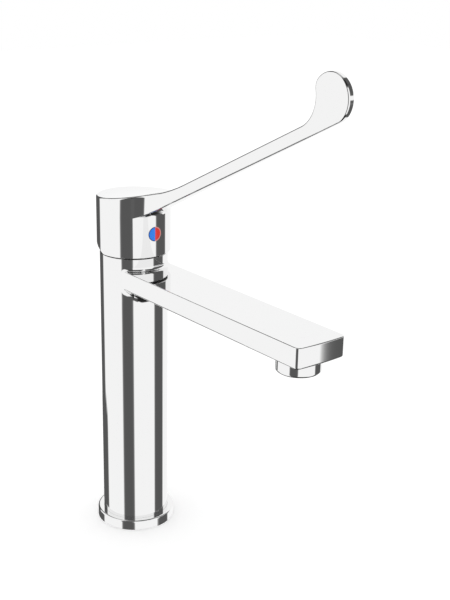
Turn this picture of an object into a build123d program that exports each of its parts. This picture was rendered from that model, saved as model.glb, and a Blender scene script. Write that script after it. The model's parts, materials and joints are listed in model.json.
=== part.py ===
from build123d import *
from math import acos, atan2, cos, degrees, hypot, radians, sin, sqrt, tan
import os

# Basin mixer tap with a long lever, in millimetres.
# The origin is on the column's axis at the deck, +Z is up, and the spout and the lever point along +X.

# Column and base
column_diameter = 50.0
column_wall = 3.5
rim_height = 216.2
base_overhang = 4.5
base_height = 7.5
base_web = 2.0
base_edge_radius = 1.2
hose_passage_diameter = 38.0
socket_clearance = 0.05
base_seal_outer = 52.0
base_seal_inner = 43.0
base_seal_depth = 1.2

# Base insert and its studs
base_insert_height = 10.0
insert_clearance = 0.05
stud_tap_diameter = 6.8
stud_x = -9.5
stud_spacing = 19.0
hose_slot_length = 27.0
hose_slot_width = 12.0

# Spout
spout_top_drop = 9.0
spout_thickness = 13.0
spout_width = 39.8
spout_reach = 202.0
spout_bow_radius = 260.0
spout_corner_radius = 2.2
spout_wall = 3.0
joint_radius = 4.0
mouth_length = 5.0
mouth_width = 14.0
mouth_height = 3.6

# Aerator
aerator_setback = 20.5
aerator_diameter = 26.6
aerator_drop = 11.0
aerator_thread_diameter = 24.0
aerator_thread_length = 5.8
aerator_bore = 21.2
aerator_lip = 1.5
aerator_lip_opening = 19.2
aerator_edge = 0.6
gasket_thickness = 1.5
gasket_inner = 20.6
boss_wall = 2.4
shoulder_thickness = 1.0
shoulder_opening = 20.4
jet_width = 1.7
jet_pitch = 2.2
jet_field_diameter = 18.8
jet_core_height = 11.0
screen_thickness = 0.8
screen_hole_diameter = 2.6
screen_circles = 2

# Waterway insert
insert_drop = 10.2
insert_height = 46.0
seat_drop = 32.2
chamber_clearance = 0.1
hose_tap_diameter = 9.1
hose_tap_depth = 13.0
port_diameter = 6.4
inlet_x = 4.5
inlet_y = 8.5
outlet_x = -7.5
channel_width = 5.0
channel_height = 8.0
channel_roof_drop = 7.0
riser_depth = 3.0
seal_section = 1.8
seal_squeeze = 1.6
upper_seal_drop = 2.1
lower_seal_rise = 5.0
ring_thickness = 1.4
ring_depth = 1.1
ring_gap = 10.0

# Cartridge
cartridge_diameter = 35.0
cartridge_wall = 1.7
base_flange_height = 2.5
cartridge_base_height = 6.0
fixed_disc_height = 4.0
moving_disc_height = 3.5
disc_face_gap = 0.02
disc_clearance = 0.3
carrier_inset = 0.4
carrier_plate_height = 3.5
carrier_boss_length = 16.0
carrier_boss_width = 12.0
carrier_boss_height = 4.0
carrier_clearance = 0.4
slide_clearance = 0.15
port_seal_outer = 9.8
port_seal_inner = 7.0
port_seal_depth = 1.5
peg_diameter = 3.0
peg_length = 2.0
peg_x = -6.0
peg_y = 12.0
kidney_width = 4.5
kidney_span = 34.0
pocket_width = 18.0
pocket_length = 8.0
pocket_tail_width = 7.0
pocket_tail_length = 3.0
pocket_depth = 2.0
pocket_x = -4.5
top_plate = 2.5
collar_wall = 2.5
collar_height = 3.0
turret_diameter = 19.0
turret_clearance = 0.2
turret_rise = 8.5
turret_plate_height = 3.5
turret_plate_gap = 0.08
rail_width = 3.0
rail_length = 20.0
rotor_seal_offset = 1.7
rotor_seal_width = 1.8
rotor_seal_depth = 1.6

# Stem, pivot and lift
lift_angle = 24.0
pivot_rise = 1.5
pivot_pin_diameter = 3.0
pivot_pin_inset = 1.0
pin_seat_clearance = 0.02
pin_running_clearance = 0.05
stem_width = 8.0
stem_foot_drop = 4.5
stem_head_height = 29.0
stem_slot_clearance = 0.15
ball_depth = 2.2
ball_diameter = 5.0
ball_clearance = 0.15
shank_diameter = 3.2
socket_mouth_diameter = 8.4

# Nut and glide ring
nut_thread_margin = 1.2
nut_thread_clearance = 0.1
nut_flats = 36.0
nut_turret_clearance = 0.5
nut_seat_gap = 0.3
nut_height = 8.5
glide_ring_inset = 0.3
glide_ring_width = 3.2
glide_ring_height = 0.85

# Lever
cap_overhang = 2.0
cap_wall = 3.0
rim_gap = 1.0
cap_height = 39.9
relief_start = 1.0
sweep_start = -15.0
roof_thickness = 4.1
arm_angle = 26.63
arm_root_rise = 18.6
arm_thickness = 7.3
arm_root_width = 13.6
arm_reach = 230.9
paddle_radius = 14.8
paddle_thickness = 4.6
paddle_shoulder_radius = 8.0
neck_radius = 20.0
neck_setback = 29.4
flare_radius = 23.5
rim_edge_radius = 0.5
stem_boss_diameter = 17.0
stem_boss_rise = 9.8
stem_socket_clearance = 0.05
socket_roof_gap = 1.0
bridge_width = 10.0
bridge_height = 11.0
screw_rise = 17.2
screw_diameter = 5.0
screw_clearance = 0.05
screw_length = 8.0
screw_key_size = 2.5
screw_key_depth = 2.5
plug_diameter = 10.6
plug_clearance = 0.05
plug_depth = 3.4
plug_stand_out = 0.1

# Body sizes that follow from the ones above
column_radius = column_diameter / 2
bore_radius = column_radius - column_wall
base_radius = column_radius + base_overhang
spout_top = rim_height - spout_top_drop
spout_bottom = spout_top - spout_thickness
duct_floor = spout_bottom + spout_wall
duct_roof = spout_top - spout_wall
duct_start = column_radius + mouth_length
duct_end = spout_reach - 2 * spout_wall
aerator_reach = spout_reach - aerator_setback
outlet_bottom = spout_bottom - aerator_drop
boss_top = spout_bottom + aerator_thread_length + gasket_thickness + shoulder_thickness
insert_radius = bore_radius - insert_clearance
insert_shoulder = rim_height - insert_drop
insert_bottom = insert_shoulder - insert_height
seat_height = rim_height - seat_drop
channel_bottom = seat_height - channel_roof_drop - channel_height
upper_seal_middle = insert_shoulder - upper_seal_drop - seal_section / 2
lower_seal_middle = insert_bottom + lower_seal_rise
nut_thread_radius = cartridge_diameter / 2 + nut_thread_margin

# Cartridge stack, from its seat upwards
cartridge_radius = cartridge_diameter / 2
cartridge_inner = cartridge_radius - cartridge_wall
housing_bottom = seat_height + base_flange_height
fixed_disc_bottom = seat_height + cartridge_base_height
moving_disc_bottom = fixed_disc_bottom + fixed_disc_height + disc_face_gap
carrier_bottom = moving_disc_bottom + moving_disc_height
carrier_boss_bottom = carrier_bottom + carrier_plate_height
carrier_top = carrier_boss_bottom + carrier_boss_height
rotor_plate_bottom = carrier_top + carrier_clearance
rotor_plate_top = rotor_plate_bottom + turret_plate_height
cartridge_top = rotor_plate_top + turret_plate_gap + top_plate
turret_radius = turret_diameter / 2
turret_top = cartridge_top + turret_rise
collar_inner = turret_radius + turret_clearance
collar_outer = collar_inner + collar_wall
rotor_seal_inner = turret_radius + rotor_seal_offset
rotor_seal_outer = rotor_seal_inner + rotor_seal_width

# Lift mechanism and lever
pivot_height = cartridge_top + pivot_rise
ball_height = carrier_top - ball_depth
ball_radius = ball_diameter / 2
slide_travel = (pivot_height - ball_height) * sin(radians(lift_angle))
disc_x = -slide_travel / 2
disc_radius = cartridge_inner - slide_travel / 2 - disc_clearance
stem_top = pivot_height + stem_head_height
cap_radius = column_radius + cap_overhang
cap_bottom = rim_height + rim_gap
cap_top = cap_bottom + cap_height
cavity_radius = cap_radius - cap_wall
stem_boss_bottom = cap_bottom + stem_boss_rise
screw_height = cap_bottom + screw_rise
plug_back = cap_radius + plug_stand_out - plug_depth

# Places that repeat
inlets = [(inlet_x, inlet_y), (inlet_x, -inlet_y)]
ports = inlets + [(outlet_x, 0)]
pegs = [(peg_x, peg_y), (peg_x, -peg_y)]
far = 2 * (spout_reach + rim_height)

os.makedirs("parts", exist_ok=True)


def save(piece, name):
    """Labels a finished piece and writes its STEP file."""
    piece.part.label = name
    export_step(piece.part, f"parts/{name}.step")


def is_on_column(point):
    """True for a point on the column's outer surface."""
    return abs(hypot(point.X, point.Y) - column_radius) < 0.01


def ring_profile(inner, outer, bottom, top):
    """Draws a ring's cross-section in the plane through the column's axis."""
    with Locations(((inner + outer) / 2, (bottom + top) / 2)):
        Rectangle(outer - inner, top - bottom)


# Body: column and spout in one casting, bored for the waterway insert and ducted to the aerator
with BuildPart() as body:
    with BuildSketch(Plane.XY.offset(base_web)):
        Circle(column_radius)
    extrude(amount=rim_height - base_web)
    with BuildSketch(Plane.XY.offset(spout_bottom)):
        half_width = spout_width / 2
        side_end = spout_reach - spout_bow_radius + sqrt(spout_bow_radius**2 - half_width**2)
        with BuildLine():
            Polyline((side_end, -half_width), (0, -half_width), (0, half_width), (side_end, half_width))
            ThreePointArc((side_end, half_width), (spout_reach, 0), (side_end, -half_width))
        make_face()
        tip_corners = vertices().group_by(Axis.X)[-1]
        fillet(tip_corners, spout_corner_radius)
    extrude(amount=spout_thickness)
    joint_edges = edges().filter_by_position(Axis.Z, spout_bottom, spout_top)
    fillet(joint_edges.filter_by(lambda e: is_on_column(e @ 0.5)), joint_radius)
    with BuildSketch(Plane.XY.offset(base_web)):
        Circle(bore_radius)
    extrude(amount=insert_shoulder - base_web, mode=Mode.SUBTRACT)
    with BuildSketch(Plane.XY.offset(insert_shoulder)):
        Circle(nut_thread_radius)
    extrude(amount=rim_height - insert_shoulder, mode=Mode.SUBTRACT)
    with BuildSketch(Plane.XY.offset(insert_bottom - ring_thickness)):
        Circle(bore_radius + ring_depth)
    extrude(amount=ring_thickness, mode=Mode.SUBTRACT)
    with BuildSketch(Plane.XY.offset(duct_floor)):
        with Locations(((duct_start + duct_end) / 2, 0)):
            RectangleRounded(duct_end - duct_start, spout_width - 2 * spout_wall, spout_wall)
    extrude(amount=duct_roof - duct_floor, mode=Mode.SUBTRACT)
    with BuildSketch(Plane.XY.offset(duct_floor)):
        with Locations(((insert_radius + duct_start) / 2, 0)):
            Rectangle(duct_start - insert_radius + 2 * spout_wall, mouth_width)
    extrude(amount=mouth_height, mode=Mode.SUBTRACT)
    with BuildSketch(Plane.XY.offset(spout_bottom)):
        with Locations((aerator_reach, 0)):
            Circle(aerator_thread_diameter / 2 + boss_wall)
    extrude(amount=boss_top - spout_bottom)
    with BuildSketch(Plane.XY.offset(spout_bottom)):
        with Locations((aerator_reach, 0)):
            Circle(aerator_thread_diameter / 2 + socket_clearance)
    extrude(amount=aerator_thread_length + gasket_thickness, mode=Mode.SUBTRACT)
    with BuildSketch(Plane.XY.offset(spout_bottom)):
        with Locations((aerator_reach, 0)):
            Circle(shoulder_opening / 2)
    extrude(amount=boss_top - spout_bottom, mode=Mode.SUBTRACT)
save(body, "body")

# Base flange: cover ring with a socket for the column's foot and a groove for the seal
with BuildPart() as base_flange:
    with BuildSketch(Plane.XZ):
        ring_profile(hose_passage_diameter / 2, base_radius, 0, base_height)
        top_corner = vertices().sort_by(Axis.Y)[-2:].sort_by(Axis.X)[-1]
        fillet(top_corner, base_edge_radius)
        with Locations((0, base_web)):
            Rectangle(
                column_radius + socket_clearance,
                base_height,
                align=(Align.MIN, Align.MIN),
                mode=Mode.SUBTRACT,
            )
        with Locations((base_seal_inner / 2, 0)):
            Rectangle(
                (base_seal_outer - base_seal_inner) / 2,
                base_seal_depth,
                align=(Align.MIN, Align.MIN),
                mode=Mode.SUBTRACT,
            )
    revolve(axis=Axis.Z)
save(base_flange, "base_flange")

# Base seal: flat rubber ring in the flange's groove
with BuildPart() as base_seal:
    with BuildSketch(Plane.XZ):
        ring_profile(base_seal_inner / 2, base_seal_outer / 2, 0, base_seal_depth)
    revolve(axis=Axis.Z)
save(base_seal, "base_seal")

# Base insert: plug with two stud threads and the slot that the hoses pass through
with BuildPart() as base_insert:
    with BuildSketch(Plane.XY.offset(base_web)):
        Circle(insert_radius)
        with Locations((inlet_x, 0)):
            SlotOverall(hose_slot_length, hose_slot_width, rotation=90, mode=Mode.SUBTRACT)
        with Locations((stud_x, stud_spacing / 2), (stud_x, -stud_spacing / 2)):
            Circle(stud_tap_diameter / 2, mode=Mode.SUBTRACT)
    extrude(amount=base_insert_height)
save(base_insert, "base_insert")

# Waterway insert: cartridge chamber, seat, hose threads, outlet channel and riser to the spout
with BuildPart() as waterway_insert:
    with BuildSketch(Plane.XY.offset(insert_bottom)):
        Circle(insert_radius)
    extrude(amount=insert_shoulder - insert_bottom)
    with BuildSketch(Plane.XY.offset(seat_height)):
        Circle(cartridge_radius + chamber_clearance)
    extrude(amount=insert_shoulder - seat_height, mode=Mode.SUBTRACT)
    with BuildSketch(Plane.XY.offset(insert_bottom)):
        with Locations(*inlets):
            Circle(hose_tap_diameter / 2)
    extrude(amount=hose_tap_depth, mode=Mode.SUBTRACT)
    with BuildSketch(Plane.XY.offset(insert_bottom + hose_tap_depth)):
        with Locations(*inlets):
            Circle(port_diameter / 2)
    extrude(amount=seat_height - insert_bottom - hose_tap_depth, mode=Mode.SUBTRACT)
    with BuildSketch(Plane.XY.offset(channel_bottom)):
        with Locations((outlet_x, 0)):
            Circle(port_diameter / 2)
    extrude(amount=seat_height - channel_bottom, mode=Mode.SUBTRACT)
    with BuildSketch(Plane.XY.offset(channel_bottom)):
        with Locations((outlet_x, 0)):
            Rectangle(bore_radius - outlet_x, channel_width, align=(Align.MIN, Align.CENTER))
    extrude(amount=channel_height, mode=Mode.SUBTRACT)
    with BuildSketch(Plane.XY.offset(channel_bottom)):
        with Locations((insert_radius - riser_depth, 0)):
            Rectangle(2 * riser_depth, mouth_width, align=(Align.MIN, Align.CENTER))
    extrude(amount=duct_floor + mouth_height - channel_bottom, mode=Mode.SUBTRACT)
    with BuildSketch(Plane.XZ):
        for seal_middle in (upper_seal_middle, lower_seal_middle):
            with Locations((bore_radius - seal_squeeze, seal_middle)):
                Rectangle(2 * seal_squeeze, seal_section, align=(Align.MIN, Align.CENTER))
    revolve(axis=Axis.Z, mode=Mode.SUBTRACT)
    with BuildSketch(Plane.XY.offset(seat_height)):
        with Locations(*pegs):
            Circle(peg_diameter / 2 + socket_clearance)
    extrude(amount=-peg_length - chamber_clearance, mode=Mode.SUBTRACT)
save(waterway_insert, "waterway_insert")

# Seals round the waterway insert, seated in its two grooves
insert_seals = (("insert_seal_upper", upper_seal_middle), ("insert_seal_lower", lower_seal_middle))
for seal_name, seal_middle in insert_seals:
    with BuildPart() as insert_seal:
        with BuildSketch(Plane.XZ):
            ring_profile(
                bore_radius - seal_squeeze,
                bore_radius,
                seal_middle - seal_section / 2,
                seal_middle + seal_section / 2,
            )
            chamfer(vertices(), seal_squeeze / 4)
        revolve(axis=Axis.Z)
    save(insert_seal, seal_name)

# Retaining ring under the waterway insert, sprung into the body's groove
with BuildPart() as insert_ring:
    with BuildSketch(Plane.XY.offset(insert_bottom - ring_thickness)):
        Circle(bore_radius + ring_depth)
        Circle(bore_radius - ring_depth, mode=Mode.SUBTRACT)
        with Locations((-bore_radius, 0)):
            Rectangle(2 * bore_radius, ring_gap, mode=Mode.SUBTRACT)
    extrude(amount=ring_thickness)
save(insert_ring, "insert_ring")

# Cartridge base: ported floor with locating pegs and a seat for a seal at each end of each port
with BuildPart() as cartridge_base:
    with BuildSketch(Plane.XY.offset(seat_height)):
        Circle(cartridge_radius)
    extrude(amount=base_flange_height)
    with BuildSketch(Plane.XY.offset(seat_height + base_flange_height)):
        Circle(cartridge_inner)
    extrude(amount=cartridge_base_height - base_flange_height)
    with BuildSketch(Plane.XY.offset(seat_height)):
        with Locations(*pegs):
            Circle(peg_diameter / 2)
    extrude(amount=-peg_length)
    with BuildSketch(Plane.XY.offset(seat_height)):
        with Locations(*ports):
            Circle(port_seal_inner / 2)
    extrude(amount=cartridge_base_height, mode=Mode.SUBTRACT)
    for seat in (seat_height, fixed_disc_bottom - port_seal_depth):
        with BuildSketch(Plane.XY.offset(seat)):
            with Locations(*ports):
                Circle(port_seal_outer / 2)
        extrude(amount=port_seal_depth, mode=Mode.SUBTRACT)
save(cartridge_base, "cartridge_base")

# Three seals under the cartridge base and three under the fixed disc
disc_seal_bottom = fixed_disc_bottom - port_seal_depth
for seal_name, seal_bottom in (("port_seals", seat_height), ("disc_seals", disc_seal_bottom)):
    with BuildPart() as seals:
        with BuildSketch(Plane.XY.offset(seal_bottom)):
            with Locations(*ports):
                Circle(port_seal_outer / 2)
                Circle(port_seal_inner / 2, mode=Mode.SUBTRACT)
        extrude(amount=port_seal_depth)
    save(seals, seal_name)

# Fixed disc: ceramic, with two kidney-shaped inlets and a round outlet
with BuildPart() as fixed_disc:
    inlet_circle = hypot(inlet_x, inlet_y)
    inlet_azimuth = degrees(atan2(inlet_y, inlet_x))
    first_kidney = inlet_azimuth - kidney_span / 2
    with BuildSketch(Plane.XY.offset(fixed_disc_bottom)):
        Circle(cartridge_inner - slide_clearance)
        with Locations((outlet_x, 0)):
            Circle(port_diameter / 2, mode=Mode.SUBTRACT)
        for start in (first_kidney, -first_kidney - kidney_span):
            kidney = CenterArc((0, 0), inlet_circle, start, kidney_span, mode=Mode.PRIVATE)
            SlotArc(kidney, kidney_width, mode=Mode.SUBTRACT)
    extrude(amount=fixed_disc_height)
save(fixed_disc, "fixed_disc")

# Moving disc: ceramic, with the mixing pocket in its lower face, set back by half its travel at rest
with BuildPart() as moving_disc:
    with BuildSketch(Plane.XY.offset(moving_disc_bottom)):
        with Locations((disc_x, 0)):
            Circle(disc_radius)
    extrude(amount=moving_disc_height)
    with BuildSketch(Plane.XY.offset(moving_disc_bottom)):
        with Locations((pocket_x, 0)):
            Rectangle(pocket_length, pocket_width)
        with Locations((pocket_x - pocket_length / 2, 0)):
            Rectangle(pocket_tail_length, pocket_tail_width, align=(Align.MAX, Align.CENTER))
        fillet(vertices(), 1)
    extrude(amount=pocket_depth, mode=Mode.SUBTRACT)
save(moving_disc, "moving_disc")

# Disc carrier: plastic slider with a flared socket for the stem's ball
with BuildPart() as disc_carrier:
    with BuildSketch(Plane.XY.offset(carrier_bottom)):
        with Locations((disc_x, 0)):
            Circle(disc_radius - carrier_inset)
    extrude(amount=carrier_plate_height)
    with BuildSketch(Plane.XY.offset(carrier_boss_bottom)):
        RectangleRounded(carrier_boss_length, carrier_boss_width, 1)
    extrude(amount=carrier_boss_height)
    with Locations((0, 0, carrier_top)):
        CounterSinkHole(
            ball_radius + ball_clearance,
            socket_mouth_diameter / 2,
            depth=ball_depth + ball_radius + ball_clearance,
        )
save(disc_carrier, "disc_carrier")

# Cartridge housing: plastic shell with a top plate and a neck that centres the nut
with BuildPart() as cartridge_housing:
    with BuildSketch(Plane.XZ):
        ring_profile(cartridge_inner, cartridge_radius, housing_bottom, cartridge_top)
        ring_profile(collar_inner, cartridge_radius, cartridge_top - top_plate, cartridge_top)
        ring_profile(collar_inner, collar_outer, cartridge_top - top_plate, cartridge_top + collar_height)
    revolve(axis=Axis.Z)
save(cartridge_housing, "cartridge_housing")

# Rotor: plate and turret in one piece, slotted for the stem, with two rails for the carrier
with BuildPart() as rotor:
    lift = radians(lift_angle)
    slot_rear = stem_width / 2 / cos(lift) + (turret_top - pivot_height) * tan(lift)
    slot_front = slide_travel + max(ball_diameter, stem_width * cos(lift)) / 2
    rail_y = carrier_boss_width / 2 + slide_clearance + rail_width / 2
    with BuildSketch(Plane.XY.offset(rotor_plate_bottom)):
        Circle(cartridge_inner - turret_clearance)
    extrude(amount=turret_plate_height)
    with BuildSketch(Plane.XY.offset(rotor_plate_top)):
        Circle(turret_radius)
    extrude(amount=turret_top - rotor_plate_top)
    with BuildSketch(Plane.XY.offset(carrier_boss_bottom + carrier_clearance)):
        with Locations((0, rail_y), (0, -rail_y)):
            Rectangle(rail_length, rail_width)
    extrude(amount=carrier_boss_height)
    with BuildSketch(Plane.XY.offset(rotor_plate_bottom)):
        with Locations((-slot_rear - stem_slot_clearance, 0)):
            Rectangle(
                slot_rear + slot_front + 2 * stem_slot_clearance,
                stem_width + 2 * stem_slot_clearance,
                align=(Align.MIN, Align.CENTER),
            )
    extrude(amount=turret_top - rotor_plate_bottom, mode=Mode.SUBTRACT)
    with BuildSketch(Plane.XZ):
        ring_profile(rotor_seal_inner, rotor_seal_outer, rotor_plate_top - rotor_seal_depth, rotor_plate_top)
    revolve(axis=Axis.Z, mode=Mode.SUBTRACT)
    with BuildSketch(Plane.XZ):
        with Locations((0, pivot_height)):
            Circle(pivot_pin_diameter / 2 + pin_seat_clearance)
    extrude(amount=turret_diameter, both=True, mode=Mode.SUBTRACT)
save(rotor, "rotor")

# Rotor seal: ring in the plate's groove
with BuildPart() as rotor_seal:
    with BuildSketch(Plane.XZ):
        ring_profile(rotor_seal_inner, rotor_seal_outer, rotor_plate_top - rotor_seal_depth, rotor_plate_top)
    revolve(axis=Axis.Z)
save(rotor_seal, "rotor_seal")

# Pivot pin
with BuildPart() as pivot_pin:
    with BuildSketch(Plane.XZ):
        with Locations((0, pivot_height)):
            Circle(pivot_pin_diameter / 2)
    extrude(amount=turret_radius - pivot_pin_inset, both=True)
    chamfer(edges().filter_by(GeomType.CIRCLE), 0.3)
save(pivot_pin, "pivot_pin")

# Stem: square head, cross hole for the pin, thin shank and a ball that drives the carrier
with BuildPart() as stem:
    foot = pivot_height - stem_foot_drop
    with BuildSketch(Plane.XY.offset(foot)):
        Rectangle(stem_width, stem_width)
    extrude(amount=stem_top - foot)
    chamfer(faces().sort_by(Axis.Z)[-1].edges(), 0.5)
    with BuildSketch(Plane.XY.offset(ball_height)):
        Circle(shank_diameter / 2)
    extrude(amount=foot - ball_height)
    with Locations((0, 0, ball_height)):
        Sphere(ball_diameter / 2)
    with BuildSketch(Plane.XZ):
        with Locations((0, pivot_height)):
            Circle(pivot_pin_diameter / 2 + pin_running_clearance)
    extrude(amount=stem_width, both=True, mode=Mode.SUBTRACT)
save(stem, "stem")

# Cartridge nut: threaded skirt on the housing's shoulder, hexagon above the rim
with BuildPart() as cartridge_nut:
    hexagon_bottom = rim_height + nut_seat_gap
    with BuildSketch(Plane.XY.offset(cartridge_top)):
        Circle(nut_thread_radius - nut_thread_clearance)
    extrude(amount=hexagon_bottom - cartridge_top)
    with BuildSketch(Plane.XY.offset(hexagon_bottom)):
        RegularPolygon(nut_flats / 2, 6, major_radius=False)
    extrude(amount=cartridge_top + nut_height - hexagon_bottom)
    with BuildSketch(Plane.XY.offset(cartridge_top)):
        Circle(turret_radius + nut_turret_clearance)
    extrude(amount=nut_height, mode=Mode.SUBTRACT)
    with BuildSketch(Plane.XY.offset(cartridge_top)):
        Circle(collar_outer + turret_clearance)
    extrude(amount=collar_height + turret_clearance, mode=Mode.SUBTRACT)
save(cartridge_nut, "cartridge_nut")

# Glide ring: dark plastic ring on the rim, in the gap under the cap
with BuildPart() as glide_ring:
    glide_radius = column_radius - glide_ring_inset
    glide_top = rim_height + glide_ring_height
    with BuildSketch(Plane.XZ):
        ring_profile(glide_radius - glide_ring_width, glide_radius, rim_height, glide_top)
    revolve(axis=Axis.Z)
save(glide_ring, "glide_ring")

# Side view of the lever: arm lines, paddle circle, its shoulder, the neck curve and the sweep onto the cap
arm_slope = tan(radians(arm_angle))
arm_root = cap_bottom + arm_root_rise
neck_reach = arm_reach - neck_setback
arm_cos = cos(radians(arm_angle))
arm_sin = sin(radians(arm_angle))


def along_arm(distance, height):
    """A point in the side view: distance along the arm's lower line, and height square to it."""
    return (distance * arm_cos - height * arm_sin, arm_root + distance * arm_sin + height * arm_cos)


def arc_round(center, radius, start, end, turn):
    """Draws the arc round a centre between two points, turning by the sign of turn."""
    first = degrees(atan2(start[1] - center[1], start[0] - center[0]))
    last = degrees(atan2(end[1] - center[1], end[0] - center[0]))
    sweep = (last - first) * turn % 360 * turn
    CenterArc(center, radius, first, sweep)


def point_towards(center, target, radius):
    """The point at a radius from a centre, on the ray towards a target."""
    span = hypot(target[0] - center[0], target[1] - center[1])
    return (
        center[0] + (target[0] - center[0]) * radius / span,
        center[1] + (target[1] - center[1]) * radius / span,
    )


paddle_center = along_arm(arm_reach, paddle_radius)
neck_center = along_arm(neck_reach, arm_thickness + neck_radius)
neck_to_shoulder = neck_radius + paddle_shoulder_radius
paddle_to_shoulder = paddle_radius - paddle_shoulder_radius
center_span = hypot(paddle_center[0] - neck_center[0], paddle_center[1] - neck_center[1])
center_azimuth = atan2(paddle_center[1] - neck_center[1], paddle_center[0] - neck_center[0])
side_squares = neck_to_shoulder**2 + center_span**2 - paddle_to_shoulder**2
shoulder_azimuth = center_azimuth + acos(side_squares / (2 * neck_to_shoulder * center_span))
shoulder_center = (
    neck_center[0] + neck_to_shoulder * cos(shoulder_azimuth),
    neck_center[1] + neck_to_shoulder * sin(shoulder_azimuth),
)
upper_line_at_start = arm_root + arm_thickness / arm_cos + arm_slope * sweep_start
sweep_radius = (cap_top - upper_line_at_start) / (arm_slope * arm_sin - (1 - arm_cos))
sweep_center = (sweep_start, cap_top + sweep_radius)
sweep_end = (sweep_start + sweep_radius * arm_sin, sweep_center[1] - sweep_radius * arm_cos)
paddle_foot = along_arm(arm_reach, 0)
shoulder_end = point_towards(paddle_center, shoulder_center, paddle_radius)
shoulder_start = point_towards(neck_center, shoulder_center, neck_radius)
neck_foot = along_arm(neck_reach, arm_thickness)

# Upper part of the lever: the plan of cap, flared root and arm, met with the side view
with BuildPart() as arm:
    taper_end = paddle_center[0] - paddle_radius / 2
    with BuildSketch(Plane.XY):
        Circle(cap_radius)
        Polygon(
            (0, -arm_root_width / 2),
            (taper_end, -paddle_thickness / 2),
            (far, -paddle_thickness / 2),
            (far, paddle_thickness / 2),
            (taper_end, paddle_thickness / 2),
            (0, arm_root_width / 2),
            align=None,
        )
        root_corners = vertices().filter_by(lambda v: abs(hypot(v.X, v.Y) - cap_radius) < 0.01 and v.X > 0)
        fillet(root_corners, flare_radius)
    extrude(amount=far)
    with BuildSketch(Plane.XZ):
        with BuildLine():
            arc_round(paddle_center, paddle_radius, paddle_foot, shoulder_end, 1)
            arc_round(shoulder_center, paddle_shoulder_radius, shoulder_end, shoulder_start, 1)
            arc_round(neck_center, neck_radius, shoulder_start, neck_foot, -1)
            Line(neck_foot, sweep_end)
            arc_round(sweep_center, sweep_radius, sweep_end, (sweep_start, cap_top), -1)
            Polyline(
                (sweep_start, cap_top),
                (-cap_radius, cap_top),
                (-cap_radius, arm_root),
                along_arm(0, 0),
                paddle_foot,
            )
        make_face()
    extrude(amount=far, both=True, mode=Mode.INTERSECT)

# Lever: the cap's skirt with its slanted rear relief, the upper part, and the inside of the cap
with BuildPart() as lever:
    with BuildSketch(Plane.XY.offset(cap_bottom)):
        Circle(cap_radius)
    extrude(amount=cap_height - roof_thickness)
    with BuildSketch(Plane.XZ):
        relief_end = relief_start - 2 * cap_radius
        Polygon(
            (relief_start, cap_bottom),
            (relief_end, cap_bottom),
            (relief_end, cap_bottom + 2 * cap_radius * tan(radians(lift_angle))),
            align=None,
        )
    extrude(amount=far, both=True, mode=Mode.SUBTRACT)
    rim_edges = edges().group_by(Axis.Z)[0].filter_by(GeomType.CIRCLE) + edges().filter_by(GeomType.ELLIPSE)
    fillet(rim_edges, rim_edge_radius)
    add(arm.part)
    with BuildSketch(Plane.XY.offset(cap_bottom)):
        Circle(cavity_radius)
    extrude(amount=cap_height - roof_thickness, mode=Mode.SUBTRACT)
    with BuildSketch(Plane.XY.offset(stem_boss_bottom)):
        Circle(stem_boss_diameter / 2)
    extrude(amount=cap_top - roof_thickness - stem_boss_bottom)
    with BuildSketch(Plane.YZ):
        with Locations((0, screw_height)):
            Rectangle(bridge_width, bridge_height)
    extrude(amount=cavity_radius + cap_wall / 2)
    with BuildSketch(Plane.XY.offset(stem_boss_bottom)):
        Rectangle(stem_width + 2 * stem_socket_clearance, stem_width + 2 * stem_socket_clearance)
    extrude(amount=stem_top + socket_roof_gap - stem_boss_bottom, mode=Mode.SUBTRACT)
    with BuildSketch(Plane.YZ):
        with Locations((0, screw_height)):
            Circle(screw_diameter / 2 + screw_clearance)
    extrude(amount=far, mode=Mode.SUBTRACT)
    with BuildSketch(Plane.YZ.offset(plug_back)):
        with Locations((0, screw_height)):
            Circle(plug_diameter / 2 + plug_clearance)
    extrude(amount=far, mode=Mode.SUBTRACT)
save(lever, "lever")

# Grub screw behind the temperature plug
with BuildPart() as grub_screw:
    screw_start = stem_width / 2 + stem_socket_clearance
    with BuildSketch(Plane.YZ.offset(screw_start)):
        with Locations((0, screw_height)):
            Circle(screw_diameter / 2)
    extrude(amount=screw_length)
    chamfer(edges().filter_by(GeomType.CIRCLE), 0.4)
    with BuildSketch(Plane.YZ.offset(screw_start + screw_length)):
        with Locations((0, screw_height)):
            RegularPolygon(screw_key_size / 2, 6, major_radius=False)
    extrude(amount=-screw_key_depth, mode=Mode.SUBTRACT)
save(grub_screw, "grub_screw")

# Temperature plug in two halves, faced to the cap's curve: the red half on +Y and the blue half on -Y
for half_name, side in (("index_red", 1), ("index_blue", -1)):
    with BuildPart() as half:
        with BuildSketch(Plane.YZ.offset(plug_back)):
            with Locations((0, screw_height)):
                Circle(plug_diameter / 2)
                Rectangle(
                    plug_diameter,
                    plug_diameter,
                    align=(Align.MAX if side > 0 else Align.MIN, Align.CENTER),
                    mode=Mode.SUBTRACT,
                )
        extrude(amount=plug_depth)
        with BuildSketch(Plane.XY.offset(screw_height - plug_diameter)):
            Circle(cap_radius + plug_stand_out)
        extrude(amount=2 * plug_diameter, mode=Mode.INTERSECT)
    save(half, half_name)

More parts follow.
